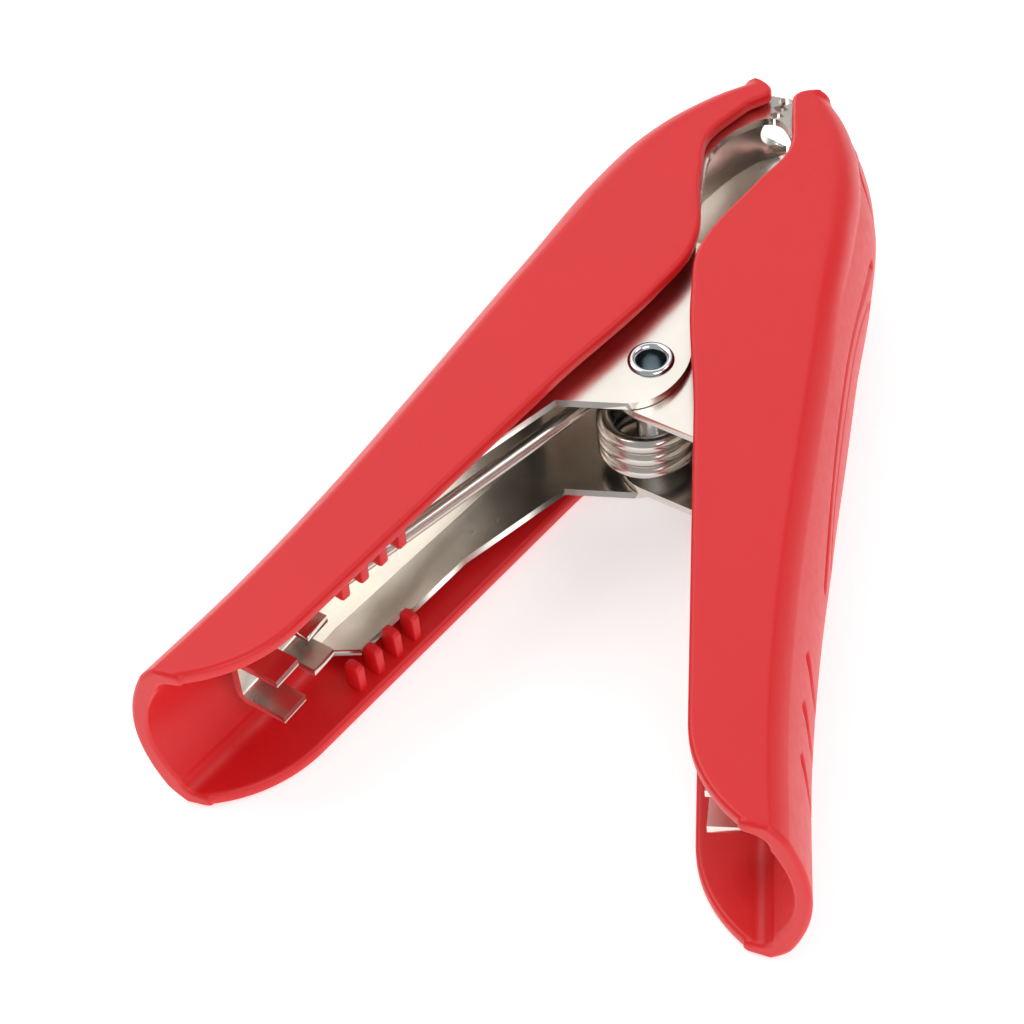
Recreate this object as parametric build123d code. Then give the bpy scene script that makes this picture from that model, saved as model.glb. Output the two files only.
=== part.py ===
"""Insulated crocodile clip for battery terminals: two sprung sheet levers on a hollow rivet, each in a cover.

Frame: the rivet's axis is Z, the jaws point along +X and the two handles spread towards -X.
The origin is the rivet's centre. The outer lever's half is on +Y and the inner lever's half on -Y.
"""

from build123d import *
from math import cos, degrees, hypot, pi, radians, sin, sqrt
import os

# Driving dimensions, in millimetres.
NOSE_X = 50.4
TAIL_X = -60.0
COVER_HALF_WIDTH = 11.15
COVER_WALL = 1.8
COVER_CORNER = 2.0
COVER_INNER_CORNER = 1.0
COVER_HEIGHT = 45.0
SHEET = 1.0
OUTER_LEVER_HALF_WIDTH = 7.8
INNER_LEVER_HALF_WIDTH = 6.7
JAW_TIP_NOTCH_RADIUS = 2.8
JAW_TIP_NOTCH_START_X = 43.0
JAW_GAP = 0.15

# The torsion spring, which lies round the rivet with its legs along the two handles.
WIRE_RADIUS = 0.95
COIL_RADIUS = 5.1
COIL_CENTRE_X = -1.8
WHOLE_TURNS = 3
UPPER_LEG_Z = 2.5
LOWER_LEG_Z = -4.6
LEG_ANGLE = 153.2
LEG_LENGTH = 44.9

# The hollow rivet.
RIVET_RADIUS = 2.2
RIVET_BORE_RADIUS = 1.65
RIVET_HEAD_RADIUS = 2.65
RIVET_HOLE_CLEARANCE = 0.05
RIVET_SEAT_GAP = 0.02
RIVET_BORE_STEP = 0.15
RIVET_LIP_HEIGHT = 0.5

# The cover's section at stations along X: corner height above the middle plane, half width, crown of the back.
COVER_STATIONS = [
    (-61.0, 35.5, 11.2, 2.3),
    (-45.0, 30.4, 11.2, 2.3),
    (-30.0, 26.6, 11.2, 2.3),
    (-15.0, 23.5, 11.2, 2.3),
    (0.0, 20.6, 11.2, 2.3),
    (12.6, 18.2, 11.2, 2.2),
    (24.0, 16.3, 10.7, 2.1),
    (34.0, 14.1, 9.6, 1.9),
    (42.0, 11.0, 8.3, 1.6),
    (47.0, 8.1, 7.4, 1.3),
    (51.2, 4.5, 6.8, 0.9),
]
SECTION_FLOOR = -6.0

# The cover's straight open edge along the handle.
HANDLE_EDGE_FRONT = (-8.8, 8.1)
HANDLE_EDGE_BACK = (-49.5, 21.3)
TAIL_CORNER_Y = 31.0

# The outer face of a lever's web: from the jaw's tip to the tail's bend, then two straight lengths.
WEB_POINTS = [(49.8, 1.7), (47.0, 4.9), (42.0, 8.0), (34.0, 11.2), (24.0, 13.8), (10.0, 15.4), (0.0, 15.6)]
TAIL_BEND = (-7.0, 16.0)
TAIL_KNEE = (-36.0, 26.3)
TAIL_END = (-39.5, 27.2)
CRIMP_END = (-51.0, 30.1)

# The free edge of a lever's tail flange, stepped back where the cover's ribs pass in front of it.
FLANGE_EDGE = [(-8.9, 8.1), (-22.0, 15.2), (-30.6, 18.1), (-31.4, 19.2), (-37.8, 21.3), (-38.7, 23.9)]

# Half width of a lever's jaw at stations along X.
JAW_PLAN = [(34.0, 7.6), (42.0, 6.2), (50.4, 4.8)]
JAW_PLAN_START_X = 24.0

# Teeth on the jaw's free edge.
TOOTH_COUNT = 3
TOOTH_PITCH = 1.6
TOOTH_START_X = 44.9
TOOTH_CREST = 0.55
TOOTH_DEPTH = 0.8

# Ribs inside a cover that hold the lever's tail against the cover's back.
RIB_COUNT = 4
RIB_FIRST = (-32.2, 17.8)
RIB_LAST = (-40.7, 20.8)
RIB_THICKNESS = 1.2
RIB_WIDTH = 2.1
RIB_TIP_Z = 5.7
RIB_TIP_ROUND = 0.8

# Open crimp barrels beyond the lever's tail: X where each starts, its length, half width, height of the wings.
NECK_HALF_WIDTH = 1.7
NECK_LENGTH = 10.0
CONDUCTOR_GRIP = (-40.6, 3.4, 3.3, 5.4)
INSULATION_GRIP = (-46.9, 3.7, 3.5, 6.5)
CRIMP_BEND = 1.6

# Reach of cutting bodies beyond the part.
BEYOND = 12.0


def save(node, solid):
    """Write one named sub-part."""
    export_step(solid, os.path.join("parts", node + ".step"))


def slab(face, half_height):
    """A face in the XY plane made into a solid that is centred on the middle plane."""
    return extrude(face, amount=half_height, both=True)


def direction(start, end):
    """The unit vector from one outline point to another."""
    return Vector(end[0] - start[0], end[1] - start[1]).normalized()


def slope_factor(points, index):
    """Length along an outline for each millimetre of X at one of its points."""
    before = points[max(index - 1, 0)]
    after = points[min(index + 1, len(points) - 1)]
    return hypot(after[0] - before[0], after[1] - before[1]) / abs(after[0] - before[0])


def lowered(points, depth):
    """Points of an outline moved inwards by this depth."""
    return [(x, y - depth * slope_factor(points, index)) for index, (x, y) in enumerate(points)]


def across(start, toward, x):
    """A plane across the line from start toward another point, where the line has this X."""
    run = direction(start, toward)
    origin = (x, start[1] + (x - start[0]) * run.Y / run.X, 0)
    return Plane(origin=origin, x_dir=(0, 0, 1), z_dir=run)


def cover_section(x, corner_y, half_width, crown, corner):
    """One closed section of a cover's outer or inner form, across X."""
    low = SECTION_FLOOR
    side_top = corner_y - corner
    flat = half_width - corner
    diagonal = corner * sqrt(0.5)
    with BuildLine() as outline:
        Line((x, low, -half_width), (x, side_top, -half_width))
        ThreePointArc(
            (x, side_top, -half_width),
            (x, side_top + diagonal, -flat - diagonal),
            (x, corner_y, -flat),
        )
        ThreePointArc((x, corner_y, -flat), (x, corner_y + crown, 0), (x, corner_y, flat))
        ThreePointArc(
            (x, corner_y, flat),
            (x, side_top + diagonal, flat + diagonal),
            (x, side_top, half_width),
        )
        Line((x, side_top, half_width), (x, low, half_width))
        Line((x, low, half_width), (x, low, -half_width))
    return make_face(outline.line)


def cover_form(inset, corner):
    """The solid form of a cover, moved inwards by the inset."""
    corners = [(x, y) for x, y, half_width, crown in COVER_STATIONS]
    faces = []
    for index, (x, corner_y, half_width, crown) in enumerate(COVER_STATIONS):
        drop = inset * slope_factor(corners, index)
        faces.append(cover_section(x, corner_y - drop, half_width - inset, crown, corner))
    return loft(faces)


def cover_side():
    """The side outline of a cover: rounded nose, jaw window, cheek, straight handle edge and rounded tail."""
    handle_slope = direction(HANDLE_EDGE_FRONT, HANDLE_EDGE_BACK)
    nose = (NOSE_X, 4.4)
    window_front = (48.0, 1.4)
    cheek = (15.5, 0.35)
    with BuildLine() as outline:
        Line((NOSE_X, COVER_HEIGHT), nose)
        ThreePointArc(nose, (49.8, 2.4), window_front)
        Spline(window_front, (44.5, 2.4), (36.3, 4.45), (29.0, 2.9), cheek, tangents=((-1, 0.1), (-1, 0)))
        Spline(cheek, (8.2, 2.0), HANDLE_EDGE_FRONT, tangents=((-1, 0), handle_slope))
        Line(HANDLE_EDGE_FRONT, HANDLE_EDGE_BACK)
        TangentArc(HANDLE_EDGE_BACK, (TAIL_X, TAIL_CORNER_Y), tangent=handle_slope)
        Line((TAIL_X, TAIL_CORNER_Y), (TAIL_X, COVER_HEIGHT))
        Line((TAIL_X, COVER_HEIGHT), (NOSE_X, COVER_HEIGHT))
    return make_face(outline.line)


def ribs():
    """Ribs with rounded tips on the inside of both side walls of a cover."""
    root_z = COVER_HALF_WIDTH - COVER_WALL / 2
    blank = Rectangle(root_z - RIB_TIP_Z, RIB_WIDTH, align=(Align.MIN, Align.CENTER))
    profile = Pos(RIB_TIP_Z, 0) * fillet(blank.vertices().group_by(Axis.X)[0], RIB_TIP_ROUND)
    pitch = (RIB_LAST[0] - RIB_FIRST[0]) / (RIB_COUNT - 1)
    solids = []
    for index in range(RIB_COUNT):
        frame = across(RIB_FIRST, RIB_LAST, RIB_FIRST[0] + index * pitch)
        rib = extrude(frame * profile, amount=RIB_THICKNESS / 2, both=True)
        solids.append(rib)
        solids.append(rib.mirror(Plane.XY))
    return solids


def cover():
    """One insulating cover: a shell open towards the other half, with the ribs that hold the lever's tail."""
    shell = cover_form(0.0, COVER_CORNER) - cover_form(COVER_WALL, COVER_INNER_CORNER)
    shell = shell & slab(cover_side(), COVER_HALF_WIDTH)
    for rib in ribs():
        shell = shell + rib
    return shell.solid()


def lever_outline():
    """A lever's side outline between the outer face of its web and its free edge."""
    tail_inner = lowered([TAIL_KNEE, TAIL_END], SHEET)[1]
    throat = (4.2, -3.3)
    ear_back = (-7.2, 0.5)
    window_back = (20.0, 1.5)
    tooth_foot = (TOOTH_START_X - 0.3, 1.0)
    tip = WEB_POINTS[0]
    with BuildLine() as outline:
        Spline(*WEB_POINTS, TAIL_BEND, tangents=((-0.55, 0.83), direction(TAIL_BEND, TAIL_KNEE)))
        Polyline(TAIL_BEND, TAIL_KNEE, TAIL_END, tail_inner, *reversed(FLANGE_EDGE), ear_back)
        Spline(ear_back, (-5.3, -2.4), (-2.2, -3.9), (0.9, -4.2), throat)
        Line(throat, window_back)
        Spline(window_back, (29.0, 3.7), (36.5, 4.7), (42.2, 2.9), tooth_foot, tangents=((1, 0.2), (0.6, -0.8)))
        Polyline(tooth_foot, *teeth(), (tip[0], JAW_GAP), tip)
    return make_face(outline.line)


def hollow_outline():
    """The side outline of the space under a lever's web."""
    web = lowered(WEB_POINTS, SHEET)
    bend, knee, end = lowered([TAIL_BEND, TAIL_KNEE, TAIL_END], SHEET)
    front_x = web[0][0] + BEYOND
    back_x = end[0] - BEYOND
    with BuildLine() as outline:
        Spline(*web, bend, tangents=((-0.55, 0.83), direction(bend, knee)))
        Polyline(bend, knee, end, (back_x, end[1]), (back_x, -BEYOND))
        Polyline((back_x, -BEYOND), (front_x, -BEYOND), (front_x, web[0][1]), web[0])
    return make_face(outline.line)


def teeth():
    """Points of the small teeth along the jaw's free edge, up to the tip."""
    points = []
    for index in range(TOOTH_COUNT):
        points.append((TOOTH_START_X + index * TOOTH_PITCH, JAW_GAP))
        points.append((TOOTH_START_X + (index + TOOTH_CREST) * TOOTH_PITCH, JAW_GAP + TOOTH_DEPTH))
    return points


def lever_plan(half_width, inset):
    """The plan of a lever, straight to the jaws and narrowed to the tip, as a block through its height."""
    side = half_width - inset
    edge = [(TAIL_X, side), (JAW_PLAN_START_X, side)]
    for x, jaw_half_width in JAW_PLAN:
        edge.append((x, min(side, jaw_half_width - inset)))
    edge.append((NOSE_X + BEYOND, edge[-1][1]))
    mirrored = [(x, -z) for x, z in reversed(edge)]
    face = Plane.XZ * make_face(Polyline(*edge, *mirrored, close=True))
    return extrude(face, amount=COVER_HEIGHT, both=True)


def crimp_barrel(grip):
    """An open barrel: a web with two wings that stand towards the lever's open side."""
    start_x, length, half_width, height = grip
    frame = across(TAIL_END, CRIMP_END, start_x)
    outer = Rectangle(2 * half_width, height, align=(Align.CENTER, Align.MAX))
    outer = fillet(outer.vertices().group_by(Axis.Y)[-1], CRIMP_BEND)
    inner = Rectangle(2 * (half_width - SHEET), height, align=(Align.CENTER, Align.MAX))
    inner = fillet(inner.vertices().group_by(Axis.Y)[-1], CRIMP_BEND - SHEET)
    profile = outer - Pos(0, -SHEET) * inner
    return extrude(frame * profile, amount=length)


def lever(half_width):
    """One pressed sheet lever: jaw, pivot ears, flanged tail and crimp barrels."""
    body = slab(lever_outline(), half_width) & lever_plan(half_width, 0.0)
    body = body - (slab(hollow_outline(), half_width) & lever_plan(half_width, SHEET))
    tip_notch = Cylinder(JAW_TIP_NOTCH_RADIUS, BEYOND, align=(Align.CENTER, Align.CENTER, Align.MIN))
    body = body - Plane.YZ.offset(JAW_TIP_NOTCH_START_X) * tip_notch
    body = body - Cylinder(RIVET_RADIUS + RIVET_HOLE_CLEARANCE, 2 * COVER_HALF_WIDTH)
    neck = Rectangle(2 * NECK_HALF_WIDTH, SHEET, align=(Align.CENTER, Align.MAX))
    neck_start = across(TAIL_END, CRIMP_END, TAIL_END[0] + SHEET)
    body = body + extrude(neck_start * neck, amount=NECK_LENGTH)
    for grip in (CONDUCTOR_GRIP, INSULATION_GRIP):
        body = body + crimp_barrel(grip)
    return body.solid()


def rivet():
    """The hollow rivet, with a rolled lip at each end."""
    seat = OUTER_LEVER_HALF_WIDTH + RIVET_SEAT_GAP
    bore_end = seat + RIVET_BORE_STEP
    lip_middle = (RIVET_BORE_RADIUS + RIVET_HEAD_RADIUS) / 2
    with BuildLine() as half:
        Line((RIVET_BORE_RADIUS, 0), (RIVET_BORE_RADIUS, bore_end))
        ThreePointArc(
            (RIVET_BORE_RADIUS, bore_end),
            (lip_middle, seat + RIVET_LIP_HEIGHT),
            (RIVET_HEAD_RADIUS, seat),
        )
        Line((RIVET_HEAD_RADIUS, seat), (RIVET_RADIUS, seat))
        Line((RIVET_RADIUS, seat), (RIVET_RADIUS, 0))
        Line((RIVET_RADIUS, 0), (RIVET_BORE_RADIUS, 0))
    profile = Plane.XZ * make_face(half.line)
    upper = revolve(profile, Axis.Z, 360)
    return (upper + upper.mirror(Plane.XY)).solid()


def spring():
    """The torsion spring: one wire with a leg, a coil round the rivet and a second leg."""
    leg_angle = radians(LEG_ANGLE)
    wind = leg_angle - pi / 2
    turns = WHOLE_TURNS + wind / pi
    rise = UPPER_LEG_Z - LOWER_LEG_Z
    coil_line = Helix(rise / turns, rise, COIL_RADIUS, center=(0, 0, LOWER_LEG_Z)).rotate(Axis.Z, -degrees(wind))
    coil_line = Pos(COIL_CENTRE_X, 0, 0) * coil_line
    section = Plane(coil_line @ 0, z_dir=coil_line % 0) * Circle(WIRE_RADIUS)
    wire = sweep(section, path=coil_line)
    for end, side in ((coil_line @ 1, 1), (coil_line @ 0, -1)):
        leg_direction = (cos(leg_angle), side * sin(leg_angle), 0)
        leg = Plane(end, z_dir=leg_direction) * Cylinder(
            WIRE_RADIUS, LEG_LENGTH, align=(Align.CENTER, Align.CENTER, Align.MIN)
        )
        wire = wire + leg + Pos(end) * Sphere(WIRE_RADIUS)
    return wire.solid()


def main():
    os.makedirs("parts", exist_ok=True)
    left_cover = cover()
    save("left_cover", left_cover)
    save("right_cover", left_cover.mirror(Plane.XZ))
    save("outer_lever", lever(OUTER_LEVER_HALF_WIDTH))
    save("inner_lever", lever(INNER_LEVER_HALF_WIDTH).mirror(Plane.XZ))
    save("hollow_rivet", rivet())
    save("torsion_spring", spring())


main()
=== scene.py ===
import math

import bmesh
import bpy
import numpy as np
from mathutils import Matrix, Vector


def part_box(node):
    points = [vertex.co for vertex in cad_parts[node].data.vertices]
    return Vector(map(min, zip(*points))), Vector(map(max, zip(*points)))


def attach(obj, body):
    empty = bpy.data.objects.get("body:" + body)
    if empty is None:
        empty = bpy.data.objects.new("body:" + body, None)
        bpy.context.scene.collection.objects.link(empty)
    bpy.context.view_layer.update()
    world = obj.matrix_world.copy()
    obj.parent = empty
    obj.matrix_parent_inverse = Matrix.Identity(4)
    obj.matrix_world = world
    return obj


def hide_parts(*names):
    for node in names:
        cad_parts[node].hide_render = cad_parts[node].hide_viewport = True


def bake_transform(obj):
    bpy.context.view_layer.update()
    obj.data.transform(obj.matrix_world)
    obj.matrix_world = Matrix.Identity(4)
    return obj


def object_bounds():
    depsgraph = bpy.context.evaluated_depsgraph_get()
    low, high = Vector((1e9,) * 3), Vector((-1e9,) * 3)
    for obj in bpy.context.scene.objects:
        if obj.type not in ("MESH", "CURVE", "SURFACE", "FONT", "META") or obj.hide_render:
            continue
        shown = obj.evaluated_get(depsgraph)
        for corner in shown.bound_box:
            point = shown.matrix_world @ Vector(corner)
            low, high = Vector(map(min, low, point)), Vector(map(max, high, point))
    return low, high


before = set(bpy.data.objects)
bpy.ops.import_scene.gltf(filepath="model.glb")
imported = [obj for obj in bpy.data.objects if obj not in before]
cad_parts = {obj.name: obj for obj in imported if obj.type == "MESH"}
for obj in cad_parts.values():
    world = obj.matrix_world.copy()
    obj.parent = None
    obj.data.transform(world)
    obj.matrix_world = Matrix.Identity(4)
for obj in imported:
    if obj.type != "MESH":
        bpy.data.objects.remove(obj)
CAD_BOX = [list(corner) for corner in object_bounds()]

MM = 0.001
TINY = 1e-9

# ---------------------------------------------------------------------------
# The covers' sizes, in millimetres
# ---------------------------------------------------------------------------
# How far inside the box of its CAD solid a cover ends.
BOX_GAP = 0.01
cover_low, cover_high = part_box("left_cover")
TAIL_X = cover_low[0] / MM + BOX_GAP
NOSE_X = cover_high[0] / MM - BOX_GAP
SIDE_Z = cover_high[2] / MM - BOX_GAP
WALL = 1.8
RIM = 0.55
CORNER = 2.0
INNER_CORNER = 2.0
LEAST_CORNER = 0.15
# x, the height of the back's corners, half the width, and how far the crown rises above the corners.
STATIONS = np.array([
    (-61.0, 35.5, 11.2, 2.3), (-45.0, 30.4, 11.2, 2.3), (-30.0, 26.6, 11.2, 2.3),
    (-15.0, 23.5, 11.2, 2.3), (0.0, 20.6, 11.2, 2.3), (12.6, 18.2, 11.2, 2.2),
    (24.0, 16.3, 10.7, 2.1), (34.0, 14.1, 9.6, 1.9), (42.0, 11.0, 8.3, 1.6),
    (47.0, 8.1, 7.4, 1.3), (51.2, 4.5, 6.8, 0.9),
])
# How far the crown stays under its height in STATIONS.
CROWN_GAP = 0.03
# The outer corners grow by this much towards the jaws, between these two x.
CORNER_GROWTH = 1.2
CORNER_GROWS = (4.0, 30.0)
# Towards the tail the outer corners are nearly bevels, and they get round between these two x.
CREASE = 0.8
CREASE_FADES = (2.0, 26.0)
# The open edge, as (x, height): a straight run between two points, an arc on to the tail's corner,
# a cheek beside the hinge, a window by the jaws, and a quarter of an oval up to the nose's corner.
EDGE_FRONT = (-8.8, 8.1)
EDGE_BACK = (-49.5, 21.3)
TAIL_CORNER = (-60.0, 31.0)
CHEEK = (8.2, 2.0)
WINDOW = [(15.5, 0.35), (29.0, 2.9), (36.3, 4.45), (44.5, 2.4), (48.0, 1.4)]
WINDOW_END_SLOPE = -0.15
NOSE_CORNER = (50.4, 4.4)
# Where a raised window edge starts to rise, and how far the left cover's is raised.
RAISE_FROM = WINDOW[0][0] + 3.0
LEFT_RAISE = 0.9


def spline(xs, ys, first=None, last=None):
    """A cubic curve through points, as a function of x; the end slopes may be given."""
    xs = np.asarray(xs, float)
    ys = np.asarray(ys, float)
    slopes = np.gradient(ys, xs)
    if first is not None:
        slopes[0] = first
    if last is not None:
        slopes[-1] = last

    def value(x):
        x = np.clip(np.asarray(x, float), xs[0], xs[-1])
        i = np.clip(np.searchsorted(xs, x, side="right") - 1, 0, len(xs) - 2)
        h = xs[i + 1] - xs[i]
        t = (x - xs[i]) / h
        return (
            (2 * t**3 - 3 * t**2 + 1) * ys[i]
            + (t**3 - 2 * t**2 + t) * h * slopes[i]
            + (3 * t**2 - 2 * t**3) * ys[i + 1]
            + (t**3 - t**2) * h * slopes[i + 1]
        )

    return value


def smooth(low, high, value):
    """0 below low and 1 above high, with a soft passage between."""
    t = np.clip((value - low) / (high - low), 0.0, 1.0)
    return t * t * (3 - 2 * t)


def tail_arc(run):
    """Centre and radius of the arc that leaves the open edge's straight run for the tail's corner."""
    normal = np.array([-run, 1.0]) / math.hypot(run, 1.0)
    chord = np.array([TAIL_CORNER[0] - EDGE_BACK[0], TAIL_CORNER[1] - EDGE_BACK[1]])
    radius = chord.dot(chord) / (2 * chord.dot(normal))
    return np.array(EDGE_BACK) + radius * normal, radius


corner_height = spline(STATIONS[:, 0], STATIONS[:, 1])
half_width = spline(STATIONS[:, 0], STATIONS[:, 2])
crown_height = spline(STATIONS[:, 0], STATIONS[:, 3])

EDGE_RUN = (EDGE_BACK[1] - EDGE_FRONT[1]) / (EDGE_BACK[0] - EDGE_FRONT[0])
TAIL_CENTRE, TAIL_RADIUS = tail_arc(EDGE_RUN)
cheek_points = [EDGE_FRONT, CHEEK, WINDOW[0]]
cheek = spline([p[0] for p in cheek_points], [p[1] for p in cheek_points], first=EDGE_RUN, last=0.0)
window = spline([p[0] for p in WINDOW], [p[1] for p in WINDOW], first=0.0, last=WINDOW_END_SLOPE)


def open_edge(x, raised):
    """Height of the cover's open edge at x, with its window edge raised by this much."""
    if x < EDGE_BACK[0]:
        return TAIL_CENTRE[1] - math.sqrt(max(TAIL_RADIUS**2 - (x - TAIL_CENTRE[0]) ** 2, 0.0))
    if x < EDGE_FRONT[0]:
        return EDGE_FRONT[1] + EDGE_RUN * (x - EDGE_FRONT[0])
    if x < WINDOW[0][0]:
        return float(cheek(x))
    if x < WINDOW[-1][0]:
        share = smooth(RAISE_FROM, WINDOW[1][0], x) * (1.0 - smooth(WINDOW[3][0], WINDOW[-1][0], x))
        return float(window(x)) + raised * float(share)
    t = min((x - WINDOW[-1][0]) / (NOSE_CORNER[0] - WINDOW[-1][0]), 1.0)
    return NOSE_CORNER[1] - (NOSE_CORNER[1] - WINDOW[-1][1]) * math.sqrt(1 - t * t)


# ---------------------------------------------------------------------------
# Moulded marks on the covers' backs: x along the clip, w across it
# ---------------------------------------------------------------------------
# Middle x, half length, half width, and how far the inside is sunk.
OVAL = (2.5, 20.0, 3.9, 0.07)
# Middle x, half length, w in the middle and w at the ends.
SWOOSH = (2.5, 24.5, -5.6, -2.2)
# Middle x, middle w, radius, and how far the inside is sunk.
DISC = (39.3, 0.0, 5.5, 0.06)
# x where each mark meets the sides, half the marks' width, their bow, and the hook at one end.
GRIP_MARKS = (-35.2, -41.5, -47.9)
GRIP_REACH = 5.6
GRIP_BOW = 1.7
GRIP_HOOK = 0.8
# Half width and depth of each line, and what its heavy part adds to them.
OVAL_LINE = (0.42, 0.26)
SWOOSH_LINE = (0.42, 0.26)
SWOOSH_HEAVY = (0.5, 0.28)
DISC_LINE = (0.4, 0.2)
DISC_HEAVY = (0.35, 0.24)
GRIP_LINE = (0.5, 0.24)
GRIP_HEAVY = (0.4, 0.3)


def channel(distance, line, extra=(0.0, 0.0), heavy=0.0):
    """Depth of a rounded channel at a distance from its middle line."""
    width = line[0] + extra[0] * heavy
    depth = line[1] + extra[1] * heavy
    t = np.clip(distance / width, 0.0, 1.0)
    return depth * (0.5 + 0.5 * np.cos(np.pi * t))


def oval_depth(x, w):
    """A line round a long oval, and the oval's slightly sunk inside."""
    middle, long_radius, short_radius, sunk = OVAL
    f = np.sqrt(((x - middle) / long_radius) ** 2 + (w / short_radius) ** 2) + TINY
    gradient = np.sqrt(((x - middle) / long_radius**2) ** 2 + (w / short_radius**2) ** 2) / f + TINY
    return np.maximum(channel(np.abs(f - 1) / gradient, OVAL_LINE), sunk * smooth(0.0, 0.1, 1 - f))


def swoosh_depth(x, w):
    """A bowed line along the back, heavier at its ends."""
    middle, reach, w_middle, w_end = SWOOSH
    along = np.clip((x - middle) / reach, -1, 1)
    line = w_middle + (w_end - w_middle) * along**2
    slope = 2 * (w_end - w_middle) * along / reach
    beyond = np.maximum(np.abs(x - middle) - reach, 0.0)
    distance = np.hypot((w - line) / np.sqrt(1 + slope**2), beyond)
    return channel(distance, SWOOSH_LINE, SWOOSH_HEAVY, smooth(0.45, 1.0, np.abs(along)))


def disc_depth(x, w):
    """A ring that is heavier on one side, and its slightly sunk inside."""
    middle_x, middle_w, radius, sunk = DISC
    r = np.hypot(x - middle_x, w - middle_w)
    heavy = smooth(-0.2, 1.0, -(w - middle_w) / (r + TINY) * 0.9 + (x - middle_x) / (r + TINY) * 0.3)
    ring = channel(np.abs(r - radius), DISC_LINE, DISC_HEAVY, heavy)
    return np.maximum(ring, sunk * smooth(0.0, 0.4, radius - r))


def grip_depth(x, w, mark):
    """A bowed mark across the back, hooked and heavier at one end."""
    t = np.clip(w, -GRIP_REACH, GRIP_REACH) / GRIP_REACH
    line = mark - GRIP_BOW * (1 - t**2) + GRIP_HOOK * smooth(0.55, 1.0, -t)
    slope = (2 * GRIP_BOW * t) / GRIP_REACH
    beyond = np.maximum(np.abs(w) - GRIP_REACH, 0.0)
    distance = np.hypot((x - line) / np.sqrt(1 + slope**2), beyond)
    return channel(distance, GRIP_LINE, GRIP_HEAVY, smooth(-0.4, 0.8, -t))


def back_marks(x, w):
    """Depth of the moulded marks on the back."""
    marks = [oval_depth(x, w), swoosh_depth(x, w), disc_depth(x, w)]
    marks += [grip_depth(x, w, mark) for mark in GRIP_MARKS]
    return np.maximum.reduce(marks)


# ---------------------------------------------------------------------------
# Mesh helpers
# ---------------------------------------------------------------------------
class Builder:
    """Collects the points, in millimetres, and the faces of one piece."""

    def __init__(self):
        self.vertices = []
        self.faces = []

    def loops(self, loops, capped=False):
        """A skin over closed loops that have the same number of points."""
        start = len(self.vertices)
        count = len(loops[0])
        self.vertices.extend(p for loop in loops for p in loop)
        for i in range(len(loops) - 1):
            near = start + i * count
            far = near + count
            for j in range(count):
                k = (j + 1) % count
                self.faces.append((near + j, near + k, far + k, far + j))
        if capped:
            last = start + (len(loops) - 1) * count
            self.faces.append(tuple(reversed(range(start, start + count))))
            self.faces.append(tuple(range(last, last + count)))

    def piece(self, name, material, smooth_angle):
        """The finished object, with edges sharper than the angle left sharp."""
        mesh = bpy.data.meshes.new(name)
        mesh.from_pydata([tuple(float(c) * MM for c in v) for v in self.vertices], [], self.faces)
        mesh.validate()
        mesh.materials.append(material)
        mesh.shade_smooth()
        mesh.set_sharp_from_angle(angle=math.radians(smooth_angle))
        mesh.update()
        return linked(name, mesh)


def linked(name, data):
    """An object with this data, put in the scene."""
    made = bpy.data.objects.new(name, data)
    bpy.context.collection.objects.link(made)
    return made


# ---------------------------------------------------------------------------
# Covers
# ---------------------------------------------------------------------------
# Points on a side wall, on a corner, on half the back, and on half of a rounded open edge.
SIDE_STEPS = 22
TURN_STEPS = 10
BACK_STEPS = 60
RIM_STEPS = 5
# A section is one closed loop: outer skin, the edge at -z, inner skin, the edge at +z.
SKIN_POINTS = 2 * (SIDE_STEPS + TURN_STEPS + BACK_STEPS) + 1
EDGE_POINTS = 2 * RIM_STEPS
SECTION_POINTS = 2 * (SKIN_POINTS + EDGE_POINTS)
OUTER_SKIN = slice(0, SKIN_POINTS)
FAR_EDGE = slice(SKIN_POINTS, SKIN_POINTS + EDGE_POINTS)
INNER_SKIN = slice(SKIN_POINTS + EDGE_POINTS, SECTION_POINTS - EDGE_POINTS)
NEAR_EDGE = slice(SECTION_POINTS - EDGE_POINTS, SECTION_POINTS)
# Sections along the cover, with more of them at the tail and at the nose.
COLUMN_SPACING = 0.28
TAIL_RUN = 1.2
TAIL_COLUMNS = 5
NOSE_COLUMNS = 18
NOSE_ROUND = 0.6
END_STEPS = 5
# Where the open edge is steep its rounding is taller, up to this many times the rim.
STEEPEST = 2.6
SLOPE_STEP = 0.1
# The marks fade out over this distance from the back's corners.
MARKS_FADE = 0.5
COVER_SMOOTH_ANGLE = 50.0


def half_profile(x, inner, raised):
    """Half of a cover's section, from the open edge to the middle of the back, as (z, y) points."""
    slope = float(corner_height(x + 0.5)) - float(corner_height(x - 0.5))
    inset = WALL if inner else 0.0
    width = min(float(half_width(x)), SIDE_Z) - inset
    top = float(corner_height(x)) - inset * math.hypot(1.0, slope)
    crown = float(crown_height(x)) - CROWN_GAP
    low = open_edge(x, raised)
    corner = INNER_CORNER if inner else CORNER + CORNER_GROWTH * float(smooth(*CORNER_GROWS, x))
    corner = max(min(corner, 0.75 * (top - low)), LEAST_CORNER)
    crease = 0.0 if inner else CREASE * (1.0 - float(smooth(*CREASE_FADES, x)))
    flat = width - corner
    points = []
    for i in range(SIDE_STEPS):
        t = i / SIDE_STEPS
        points.append((width, low + (top - corner - low) * t))
    for i in range(TURN_STEPS):
        t = i / TURN_STEPS
        angle = t * math.pi / 2
        arc = (flat + corner * math.cos(angle), top - corner + corner * math.sin(angle))
        straight = (width - corner * t, top - corner + corner * t)
        points.append(tuple(a * (1 - crease) + s * crease for a, s in zip(arc, straight)))
    for i in range(BACK_STEPS + 1):
        t = 1 - i / BACK_STEPS
        points.append((flat * t, top + crown * (1 - t * t)))
    return np.array(points)


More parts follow.
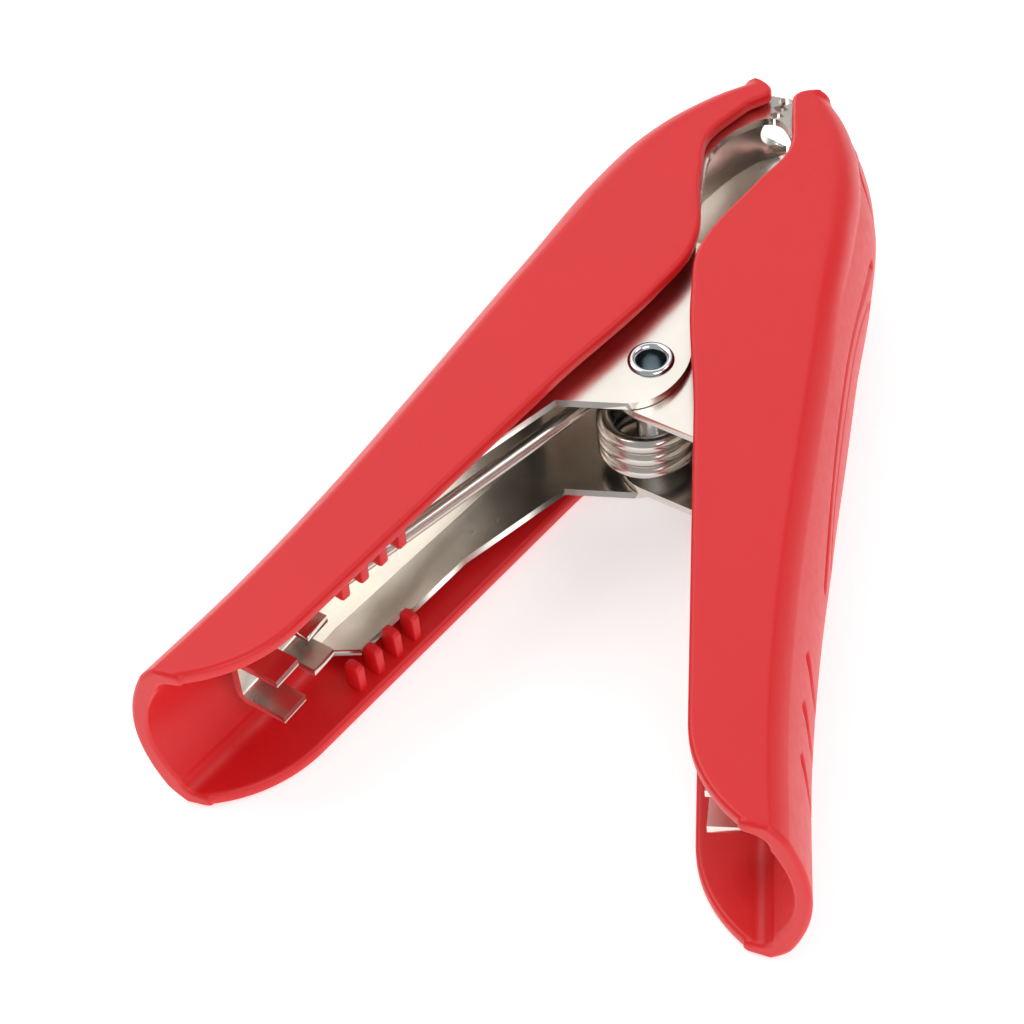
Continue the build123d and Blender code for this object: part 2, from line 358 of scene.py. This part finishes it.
def both_sides(half):
    """A half section and its mirror image, from the open edge at +z to the one at -z."""
    half = [tuple(point) for point in half]
    return half + [(-z, y) for z, y in reversed(half[:-1])]


def rounded_edge(outer_z, inner_z, low, lift):
    """The rounded open edge at +z, from the inner skin to the outer one."""
    inner_half, outer_half = [], []
    for i in range(RIM_STEPS):
        a = (i + 0.5) / RIM_STEPS * math.pi / 2
        inward = RIM * (1 - math.sin(a))
        height = low + lift * (1 - math.cos(a))
        inner_half.append((inner_z + inward, height))
        outer_half.append((outer_z - inward, height))
    return inner_half[::-1] + outer_half


def section(x, raised):
    """The closed section of a cover at x, as (z, y) points."""
    outer = half_profile(x, False, raised)
    inner = half_profile(x, True, raised)
    low = open_edge(x, raised)
    before = open_edge(max(x - SLOPE_STEP, TAIL_X), raised)
    after = open_edge(min(x + SLOPE_STEP, NOSE_X), raised)
    steepness = (after - before) / (2 * SLOPE_STEP)
    lift = min(RIM * min(math.hypot(1.0, steepness), STEEPEST), 0.5 * (float(corner_height(x)) - low))
    # The side walls start above the rounded edge.
    ramp = np.linspace(0.0, 1.0, SIDE_STEPS + 1)[:SIDE_STEPS]
    for skin in (outer, inner):
        skin[skin[:, 1] < low + lift, 1] = low + lift
        top = max(skin[SIDE_STEPS][1], low + lift + 0.05)
        skin[:SIDE_STEPS, 1] = low + lift + (top - low - lift) * ramp

    outer_path = both_sides(outer)
    w = np.array([z for z, _ in outer_path])
    depth = back_marks(np.full(len(w), x), w)
    corner_z = outer[SIDE_STEPS + TURN_STEPS][0]
    share = smooth(0.0, MARKS_FADE, corner_z - np.abs(w))
    outer_path = [(z, y - d * s) for (z, y), d, s in zip(outer_path, depth, share)]
    inner_path = both_sides(inner)[::-1]
    near_edge = rounded_edge(outer[0][0], inner[0][0], low, lift)
    far_edge = [(-z, y) for z, y in reversed(near_edge)]
    return np.array(outer_path + far_edge + inner_path + near_edge)


def column_places():
    """The x of each whole section, from the tail to the nose."""
    front = WINDOW[-1][0]
    reach = NOSE_X - RIM * NOSE_ROUND - front
    tail = TAIL_X + RIM + (TAIL_RUN - RIM) * np.linspace(0, 1, TAIL_COLUMNS + 1)[:-1]
    middle = np.arange(TAIL_X + TAIL_RUN, front, COLUMN_SPACING)
    nose = [front + reach * math.sin(a) for a in np.linspace(0, math.pi / 2, NOSE_COLUMNS)]
    return [*tail, *middle, *nose]


def rounded_end(x, points, x_end):
    """Sections that round off an end of the wall, from the whole section at x on to x_end."""
    outer = points[OUTER_SKIN]
    inner = points[INNER_SKIN][::-1]
    run = inner - outer
    unit = run / (np.linalg.norm(run, axis=1, keepdims=True) + TINY)
    edge_points = [*range(SECTION_POINTS)[FAR_EDGE], *range(SECTION_POINTS)[NEAR_EDGE]]
    edge_top = outer[0][1]
    edge_height = max(edge_top - points[edge_points, 1].min(), 1.5 * RIM)
    wall_out, wall_in = abs(outer[0][0]), abs(inner[0][0])
    result = []
    for i in range(1, END_STEPS + 1):
        a = i / END_STEPS * math.pi / 2
        inset = RIM * (1 - math.cos(a))
        moved = points.copy()
        moved[OUTER_SKIN] = outer + unit * inset
        moved[INNER_SKIN] = (inner - unit * inset)[::-1]
        for j in edge_points:
            width = abs(points[j, 0])
            to_out, to_in = wall_out - width, width - wall_in
            if to_out < to_in:
                width -= inset * (1.0 - 0.6 * min(to_out / RIM, 1.0))
            else:
                width += inset * (1.0 - 0.6 * min(to_in / RIM, 1.0))
            moved[j, 0] = math.copysign(width, points[j, 0])
            moved[j, 1] = edge_top - (edge_top - points[j, 1]) * (1.0 - inset / edge_height)
        result.append((x + (x_end - x) * math.sin(a), moved))
    return result


def end_faces(first_point, turned):
    """Faces across the wall's thickness, on the end section whose points start at first_point."""
    points = range(first_point, first_point + SECTION_POINTS)
    outer = points[OUTER_SKIN]
    inner = points[INNER_SKIN][::-1]
    faces = [(outer[i], outer[i + 1], inner[i + 1], inner[i]) for i in range(SKIN_POINTS - 1)]
    faces.append((outer[-1], *points[FAR_EDGE], inner[-1]))
    faces.append((inner[0], *points[NEAR_EDGE], outer[0]))
    return [face[::-1] for face in faces] if turned else faces


def cover(name, side, material, raised):
    """A cover: side +1 lies on +Y and side -1 on -Y, the same moulding turned over."""
    columns = [(x, section(x, raised)) for x in column_places()]
    first = rounded_end(*columns[0], TAIL_X)
    last = rounded_end(*columns[-1], NOSE_X)
    columns = first[::-1] + columns + last
    builder = Builder()
    builder.loops([[(x, side * y, side * z) for z, y in points] for x, points in columns])
    builder.faces.extend(end_faces(0, False))
    builder.faces.extend(end_faces((len(columns) - 1) * SECTION_POINTS, True))
    for rib in rib_loops(side):
        builder.loops(rib, capped=True)
    return builder.piece(name, material, COVER_SMOOTH_ANGLE)


# ---------------------------------------------------------------------------
# The covers' ribs, which hold the levers' tails
# ---------------------------------------------------------------------------
RIB_FIRST = (-32.2, 17.8)
RIB_LAST = (-40.7, 20.8)
RIB_COUNT = 4
RIB_ARC_STEPS = 16
RIB_TIP_Z = 5.7
RIB_TIP_DEPTH = 0.75
RIB_HALF_HEIGHT = 1.05
RIB_ROOT_HALF_HEIGHT = 1.15
# Powers under 1 make the tip squarer than an ellipse.
RIB_TIP_POWER = 0.7
RIB_SIDE_POWER = 0.6
# Place in the rib's thickness, and by how much the rib is lower there, which breaks its edges.
RIB_LAYERS = ((-0.6, 0.22), (-0.52, 0.06), (-0.4, 0.0), (0.4, 0.0), (0.52, 0.06), (0.6, 0.22))
# The rib's depth shrinks by this share of what its height does.
RIB_DEPTH_SHARE = 0.3


def rib_outline(root):
    """A rib's face, as (z, height): a rounded tip, and a root inside the side wall."""
    outline = []
    for i in range(RIB_ARC_STEPS + 1):
        a = -math.pi / 2 + math.pi * i / RIB_ARC_STEPS
        out = abs(math.cos(a)) ** RIB_TIP_POWER
        height = math.copysign(abs(math.sin(a)) ** RIB_SIDE_POWER, math.sin(a))
        outline.append((RIB_TIP_Z + RIB_TIP_DEPTH * (1 - out), RIB_HALF_HEIGHT * height))
    outline.append((root, RIB_ROOT_HALF_HEIGHT))
    outline.append((root, -RIB_ROOT_HALF_HEIGHT))
    return outline


def rib_loops(side):
    """The loops of each rib, in rows on the inside of both side walls."""
    run = np.array(RIB_LAST) - np.array(RIB_FIRST)
    along = run / np.linalg.norm(run)
    up = np.array([along[1], -along[0]])
    root = SIDE_Z - WALL * 0.5
    outline = rib_outline(root)
    ribs = []
    for index in range(RIB_COUNT):
        centre = np.array(RIB_FIRST) + run * index / (RIB_COUNT - 1)
        for wall in (-1, 1):
            layers = []
            for offset, shrink in RIB_LAYERS:
                layer = []
                for z, height in outline:
                    point = centre + along * offset + up * height * (1 - shrink)
                    depth = root - (root - z) * (1 - shrink * RIB_DEPTH_SHARE)
                    layer.append((point[0], side * point[1], wall * depth))
                if wall * side > 0:
                    layer.reverse()
                layers.append(layer)
            ribs.append(layers)
    return ribs


# ---------------------------------------------------------------------------
# Spring, in millimetres
# ---------------------------------------------------------------------------
WIRE_RADIUS = 0.95
COIL_RADIUS = 5.1
COIL_X = -1.8
UPPER_Z = 2.5
LOWER_Z = -4.6
WHOLE_TURNS = 3
LEG_ANGLE = math.radians(153.2)
LEG_LENGTH = 44.9
# How uneven the coil's rise is: a little faster at its ends than in its middle.
UNEVEN_RISE = 0.006
COIL_STEPS = 200
LEG_STEPS = 40
WIRE_SIDES = 20
# Distance from the wire's end, and the radius there as a share of the wire's.
WIRE_END = ((0.0, 0.80), (0.06, 0.92), (0.2, 1.0))
SPRING_SMOOTH_ANGLE = 60


def ring(point, normal, other, radius):
    """A circle round a point."""
    turns = [2 * math.pi * k / WIRE_SIDES for k in range(WIRE_SIDES)]
    return [point + (normal * math.cos(turn) + other * math.sin(turn)) * radius for turn in turns]


def wire_loops(path):
    """The loops of a round wire along a path, with slightly rounded ends."""
    normal = Vector((0, 0, 1))
    frames = []
    for i, point in enumerate(path):
        tangent = (path[min(i + 1, len(path) - 1)] - path[max(i - 1, 0)]).normalized()
        normal = (normal - tangent * normal.dot(tangent)).normalized()
        frames.append((point, tangent, normal, tangent.cross(normal)))
    point, tangent, normal, other = frames[0]
    loops = [ring(point + tangent * s, normal, other, WIRE_RADIUS * r) for s, r in WIRE_END]
    loops += [ring(point, normal, other, WIRE_RADIUS) for point, _, normal, other in frames[1:-1]]
    point, tangent, normal, other = frames[-1]
    loops += [ring(point - tangent * s, normal, other, WIRE_RADIUS * r) for s, r in reversed(WIRE_END)]
    return loops


def spring(name, material):
    """The torsion spring: leg, coil and leg in one wire."""
    wind = LEG_ANGLE - math.pi / 2
    turn = 2 * WHOLE_TURNS * math.pi + 2 * wind
    coil = []
    for i in range(COIL_STEPS + 1):
        t = i / COIL_STEPS
        angle = -wind + turn * t
        rise = t + UNEVEN_RISE * math.sin(2 * math.pi * t)
        z = LOWER_Z + (UPPER_Z - LOWER_Z) * rise
        coil.append(Vector((COIL_X + COIL_RADIUS * math.cos(angle), COIL_RADIUS * math.sin(angle), z)))
    upper = Vector((math.cos(LEG_ANGLE), math.sin(LEG_ANGLE), 0))
    lower = Vector((upper.x, -upper.y, 0))
    first = [coil[0] + lower * LEG_LENGTH * (1 - i / LEG_STEPS) for i in range(LEG_STEPS)]
    last = [coil[-1] + upper * LEG_LENGTH * (i / LEG_STEPS) for i in range(1, LEG_STEPS + 1)]
    builder = Builder()
    builder.loops(wire_loops(first + coil + last), capped=True)
    return builder.piece(name, material, SPRING_SMOOTH_ANGLE)


# ---------------------------------------------------------------------------
# Rivet, in millimetres
# ---------------------------------------------------------------------------
RIVET_LIP = 0.5
RIVET_SIDES = 72
RIVET_SMOOTH_ANGLE = 40
# Radius and height above the lip's seat, from the bore over the rolled lip to the barrel.
LIP_CURVE = (
    (1.65, -1.2), (1.66, -0.1), (1.72, 0.12), (1.84, 0.3), (2.0, 0.42), (2.18, 0.46), (2.36, 0.42),
    (2.5, 0.33), (2.6, 0.2), (2.65, 0.06), (2.62, 0.0), (2.4, -0.01), (2.2, -0.02),
)


def rivet(name, material):
    """The hollow rivet with rolled, slightly dished lips."""
    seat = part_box("hollow_rivet")[1][2] / MM - RIVET_LIP
    upper = [(r, seat + z) for r, z in LIP_CURVE]
    lower = [(r, -z) for r, z in reversed(upper)]
    bore, barrel = (LIP_CURVE[0][0], 0.0), (LIP_CURVE[-1][0], 0.0)
    profile = [bore] + upper + [barrel] + lower
    count = len(profile)
    builder = Builder()
    for i in range(RIVET_SIDES):
        a = 2 * math.pi * i / RIVET_SIDES
        builder.vertices.extend((r * math.cos(a), r * math.sin(a), z) for r, z in profile)
        here = i * count
        there = (i + 1) % RIVET_SIDES * count
        for m in range(count):
            n = (m + 1) % count
            builder.faces.append((here + m, there + m, there + n, here + n))
    return builder.piece(name, material, RIVET_SMOOTH_ANGLE)


# ---------------------------------------------------------------------------
# Levers, in metres: the CAD sheet, smooth shaded, with very small bevels on its folds and edges
# ---------------------------------------------------------------------------
# Sizes asked for. The bevels are held back by the shortest edges beside them and come out far
# smaller, about 0.01 mm on the folds and under 0.001 mm elsewhere, so all of them stay nearly sharp.
OUTER_FOLD = 0.0012
INNER_FOLD = 0.0006
BROKEN_EDGE = 0.00014
# The tips beyond these x are left as they are.
FOLDS_END_X = 0.0375
EDGES_END_X = 0.0435
# Behind this x, and closer to the middle than this z, no edge counts as an outer fold.
FOLDS_START_X = -0.0395
FOLDS_LEAST_Z = 0.0045
SAME_POINT = 0.000003
SAME_PLANE = math.radians(1.0)
SHARP_ANGLE = math.radians(28)
LEVER_SMOOTH_ANGLE = 32
# Faces larger than this, in square metres, whose normals are this close to Z are shaded flat.
FLAT_AREA = 4e-7
FLAT_NORMAL = 0.93


def sorted_edges(work, side):
    """The sheet's outer folds, its inner folds, and the rest of its sharp edges."""
    outer_folds, inner_folds, others = [], [], []
    for edge in work.edges:
        if len(edge.link_faces) != 2 or edge.calc_face_angle(0.0) < SHARP_ANGLE:
            continue
        normals = [face.normal for face in edge.link_faces]
        web = [n.y * side for n in normals if abs(n.z) < 0.3]
        flange = [n.z for n in normals if abs(n.z) > 0.8]
        web_outside = any(y > 0.5 for y in web)
        web_inside = any(y < -0.5 for y in web)
        is_fold = bool(flange) and (web_outside or web_inside)
        middle = (edge.verts[0].co + edge.verts[1].co) / 2
        if middle.x > (FOLDS_END_X if is_fold else EDGES_END_X):
            continue
        flange_outside = any(z * middle.z > 0 for z in flange)
        has_room = abs(middle.z) > FOLDS_LEAST_Z and middle.x > FOLDS_START_X
        if web_outside and flange_outside and has_room:
            outer_folds.append(edge)
        elif web_inside and flange and not flange_outside and not edge.is_convex:
            inner_folds.append(edge)
        else:
            others.append(edge)
    return outer_folds, inner_folds, others


def bevel(work, edges, offset, segments):
    """Bevels those of the edges that earlier bevels left whole, as far as the mesh allows."""
    bmesh.ops.bevel(
        work, geom=[edge for edge in edges if edge.is_valid], offset=offset, offset_type="OFFSET",
        segments=segments, profile=0.5, affect="EDGES", clamp_overlap=True,
    )


def pressed_lever(node_name, name, material):
    """The lever's CAD mesh with its flat triangles joined, very small bevels and smooth shading."""
    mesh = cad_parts[node_name].data.copy()
    mesh.name = name
    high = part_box(node_name)[1]
    side = 1.0 if high[1] > 0.02 else -1.0
    work = bmesh.new()
    work.from_mesh(mesh)
    bmesh.ops.remove_doubles(work, verts=work.verts, dist=SAME_POINT)
    bmesh.ops.dissolve_limit(
        work, angle_limit=SAME_PLANE, use_dissolve_boundaries=False,
        verts=work.verts, edges=work.edges,
    )
    outer_folds, inner_folds, others = sorted_edges(work, side)
    bevel(work, outer_folds, OUTER_FOLD, 5)
    bevel(work, inner_folds, INNER_FOLD, 4)
    bevel(work, others, BROKEN_EDGE, 2)
    work.to_mesh(mesh)
    work.free()
    mesh.materials.clear()
    mesh.materials.append(material)
    mesh.shade_smooth()
    mesh.set_sharp_from_angle(angle=math.radians(LEVER_SMOOTH_ANGLE))
    for polygon in mesh.polygons:
        if abs(polygon.normal.z) > FLAT_NORMAL and polygon.area > FLAT_AREA:
            polygon.use_smooth = False
    return linked(name, mesh)


# ---------------------------------------------------------------------------
# Materials
# ---------------------------------------------------------------------------
BUMP_DISTANCE = 0.00003


def new_material(name):
    """A material, its node tree and its shader."""
    made = bpy.data.materials.new(name)
    made.use_nodes = True
    tree = made.node_tree
    return made, tree, tree.nodes["Principled BSDF"]


def noise(tree, scale, detail, coords):
    """A noise texture's value."""
    made = tree.nodes.new("ShaderNodeTexNoise")
    made.inputs["Scale"].default_value = scale
    made.inputs["Detail"].default_value = detail
    tree.links.new(coords, made.inputs["Vector"])
    return made.outputs["Fac"]


def ramp(tree, source, low, high, a, b):
    """Maps a value from low..high to a..b."""
    made = tree.nodes.new("ShaderNodeMapRange")
    made.inputs["From Min"].default_value = low
    made.inputs["From Max"].default_value = high
    made.inputs["To Min"].default_value = a
    made.inputs["To Max"].default_value = b
    tree.links.new(source, made.inputs["Value"])
    return made.outputs["Result"]


def colour_between(tree, shader, share, first, second):
    """Gives the shader a colour between two, by share."""
    mix = tree.nodes.new("ShaderNodeMix")
    mix.data_type = "RGBA"
    share_input, first_input, second_input = mix.inputs[0], mix.inputs[6], mix.inputs[7]
    first_input.default_value = (*first, 1)
    second_input.default_value = (*second, 1)
    tree.links.new(share, share_input)
    tree.links.new(mix.outputs[2], shader.inputs["Base Color"])


def roughened(tree, shader, height, strength):
    """Gives the shader a fine bump."""
    bump = tree.nodes.new("ShaderNodeBump")
    bump.inputs["Strength"].default_value = strength
    bump.inputs["Distance"].default_value = BUMP_DISTANCE
    tree.links.new(height, bump.inputs["Height"])
    tree.links.new(bump.outputs["Normal"], shader.inputs["Normal"])


def red_plastic():
    """Semi-matt moulded plastic, with faint clouds, fine grain and light wear."""
    made, tree, shader = new_material("red_plastic")
    coords = tree.nodes.new("ShaderNodeTexCoord").outputs["Object"]
    cloud = noise(tree, 60.0, 3.0, coords)
    grain = noise(tree, 5200.0, 2.0, coords)
    wear = noise(tree, 900.0, 4.0, coords)
    colour_between(tree, shader, cloud, (0.70, 0.011, 0.014), (0.75, 0.014, 0.017))
    tree.links.new(ramp(tree, wear, 0.3, 0.7, 0.36, 0.44), shader.inputs["Roughness"])
    roughened(tree, shader, grain, 0.12)
    shader.inputs["IOR"].default_value = 1.46
    shader.inputs["Subsurface Weight"].default_value = 0.12
    shader.inputs["Subsurface Radius"].default_value = (1.0, 0.25, 0.2)
    shader.inputs["Subsurface Scale"].default_value = 0.0012
    return made


def metal(name, light, dark, roughness, bump, stretch):
    """A plated metal with fine drawing marks along one direction and cloudy wear."""
    made, tree, shader = new_material(name)
    coords = tree.nodes.new("ShaderNodeTexCoord").outputs["Object"]
    mapping = tree.nodes.new("ShaderNodeMapping")
    mapping.inputs["Scale"].default_value = stretch
    tree.links.new(coords, mapping.inputs["Vector"])
    lines = noise(tree, 2200.0, 3.0, mapping.outputs["Vector"])
    cloud = noise(tree, 160.0, 4.0, coords)
    colour_between(tree, shader, ramp(tree, cloud, 0.35, 0.65, 0.0, 1.0), dark, light)
    shader.inputs["Metallic"].default_value = 1.0
    tree.links.new(ramp(tree, cloud, 0.3, 0.7, *roughness), shader.inputs["Roughness"])
    roughened(tree, shader, lines, bump)
    return made


plastic = red_plastic()
plated = metal(
    "nickel_plated_sheet", light=(0.83, 0.79, 0.73), dark=(0.76, 0.72, 0.65),
    roughness=(0.20, 0.28), bump=0.10, stretch=(0.12, 1.0, 1.0),
)
wire = metal(
    "bright_spring_wire", light=(0.78, 0.74, 0.69), dark=(0.68, 0.64, 0.60),
    roughness=(0.15, 0.27), bump=0.2, stretch=(0.3, 0.3, 1.0),
)
zinc = metal(
    "blue_zinc_rivet", light=(0.80, 0.85, 0.87), dark=(0.70, 0.77, 0.80),
    roughness=(0.12, 0.22), bump=0.10, stretch=(1.0, 1.0, 0.3),
)

# ---------------------------------------------------------------------------
# Pieces
# ---------------------------------------------------------------------------
left = cover("left_cover_moulding", 1, plastic, LEFT_RAISE)
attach(left, "outer_half")
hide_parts("left_cover")

right = cover("right_cover_moulding", -1, plastic, 0.0)
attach(right, "inner_half")
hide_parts("right_cover")

coil = spring("torsion_spring_wire", wire)
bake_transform(coil)
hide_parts("torsion_spring")

pin = rivet("hollow_rivet_rolled", zinc)
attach(pin, "outer_half")
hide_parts("hollow_rivet")

for lever_name, body in (("outer_lever", "outer_half"), ("inner_lever", "inner_half")):
    pressed = pressed_lever(lever_name, lever_name + "_pressed", plated)
    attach(pressed, body)
    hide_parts(lever_name)

# ---------------------------------------------------------------------------
# Floor, light and camera, in metres
# ---------------------------------------------------------------------------
FLOOR_REACH = 3.0
FLOOR_GAP = 0.00003
FLOOR_GREY = 0.84
FLOOR_GLOW = 0.52
WORLD_STRENGTH = 0.40
# Name, place, power in watts, width and height.
SOFTBOXES = (
    ("key", (0.05, 0.60, 0.75), 3.2, 0.6, 0.6),
    ("panel", (0.62, 0.30, 0.76), 1.7, 0.8, 0.8),
    ("sheen", (0.26, -0.55, 0.66), 1.0, 0.4, 0.4),
    ("rim", (0.70, 0.70, 0.22), 1.3, 0.5, 0.4),
    ("fill", (-0.45, -0.55, 0.50), 2.1, 0.5, 0.5),
)
LIGHTS_AIM = (-0.01, 0.0, 0.0)
CAMERA_PLACE = (-0.22888, -0.09260, 0.25487)
CAMERA_FORWARD = (0.60613, 0.29669, -0.73796)
CAMERA_UPWARD = (0.71085, 0.21413, 0.66996)
CAMERA_RIGHTWARD = (0.35679, -0.93066, -0.08112)
CAMERA_SENSOR_MM = 36
CAMERA_LENS_MM = 109.7


def pale_floor():
    """A pale floor just under the clip, bright enough to fade into the background."""
    made, _, shader = new_material("pale_floor")
    shader.inputs["Base Color"].default_value = (FLOOR_GREY, FLOOR_GREY, FLOOR_GREY, 1)
    shader.inputs["Roughness"].default_value = 0.9
    shader.inputs["Emission Color"].default_value = (1.0, 1.0, 1.0, 1)
    shader.inputs["Emission Strength"].default_value = FLOOR_GLOW
    height = CAD_BOX[0][2] - FLOOR_GAP
    corners = [(-1, -1), (1, -1), (1, 1), (-1, 1)]
    mesh = bpy.data.meshes.new("floor")
    mesh.from_pydata([(FLOOR_REACH * x, FLOOR_REACH * y, height) for x, y in corners], [], [(0, 1, 2, 3)])
    mesh.materials.append(made)
    return linked("floor", mesh)


def softbox(name, place, power, width, height):
    """A rectangular light that points at the clip."""
    light = bpy.data.lights.new(name, "AREA")
    light.shape = "RECTANGLE"
    light.size = width
    light.size_y = height
    light.energy = power
    lamp = linked(name, light)
    lamp.location = place
    lamp.rotation_euler = (Vector(LIGHTS_AIM) - Vector(place)).to_track_quat("-Z", "Y").to_euler()


floor = pale_floor()

world = bpy.data.worlds.new("studio")
world.use_nodes = True
background = world.node_tree.nodes["Background"]
background.inputs["Color"].default_value = (1.0, 1.0, 1.0, 1)
background.inputs["Strength"].default_value = WORLD_STRENGTH
bpy.context.scene.world = world

for box in SOFTBOXES:
    softbox(*box)

camera = linked("camera", bpy.data.cameras.new("camera"))
backward = -Vector(CAMERA_FORWARD)
turn = Matrix((CAMERA_RIGHTWARD, CAMERA_UPWARD, backward)).transposed()
camera.matrix_world = Matrix.Translation(CAMERA_PLACE) @ turn.to_4x4()
camera.data.sensor_width = CAMERA_SENSOR_MM
camera.data.lens = CAMERA_LENS_MM
bpy.context.scene.camera = camera
bpy.context.scene.view_settings.view_transform = "Standard"
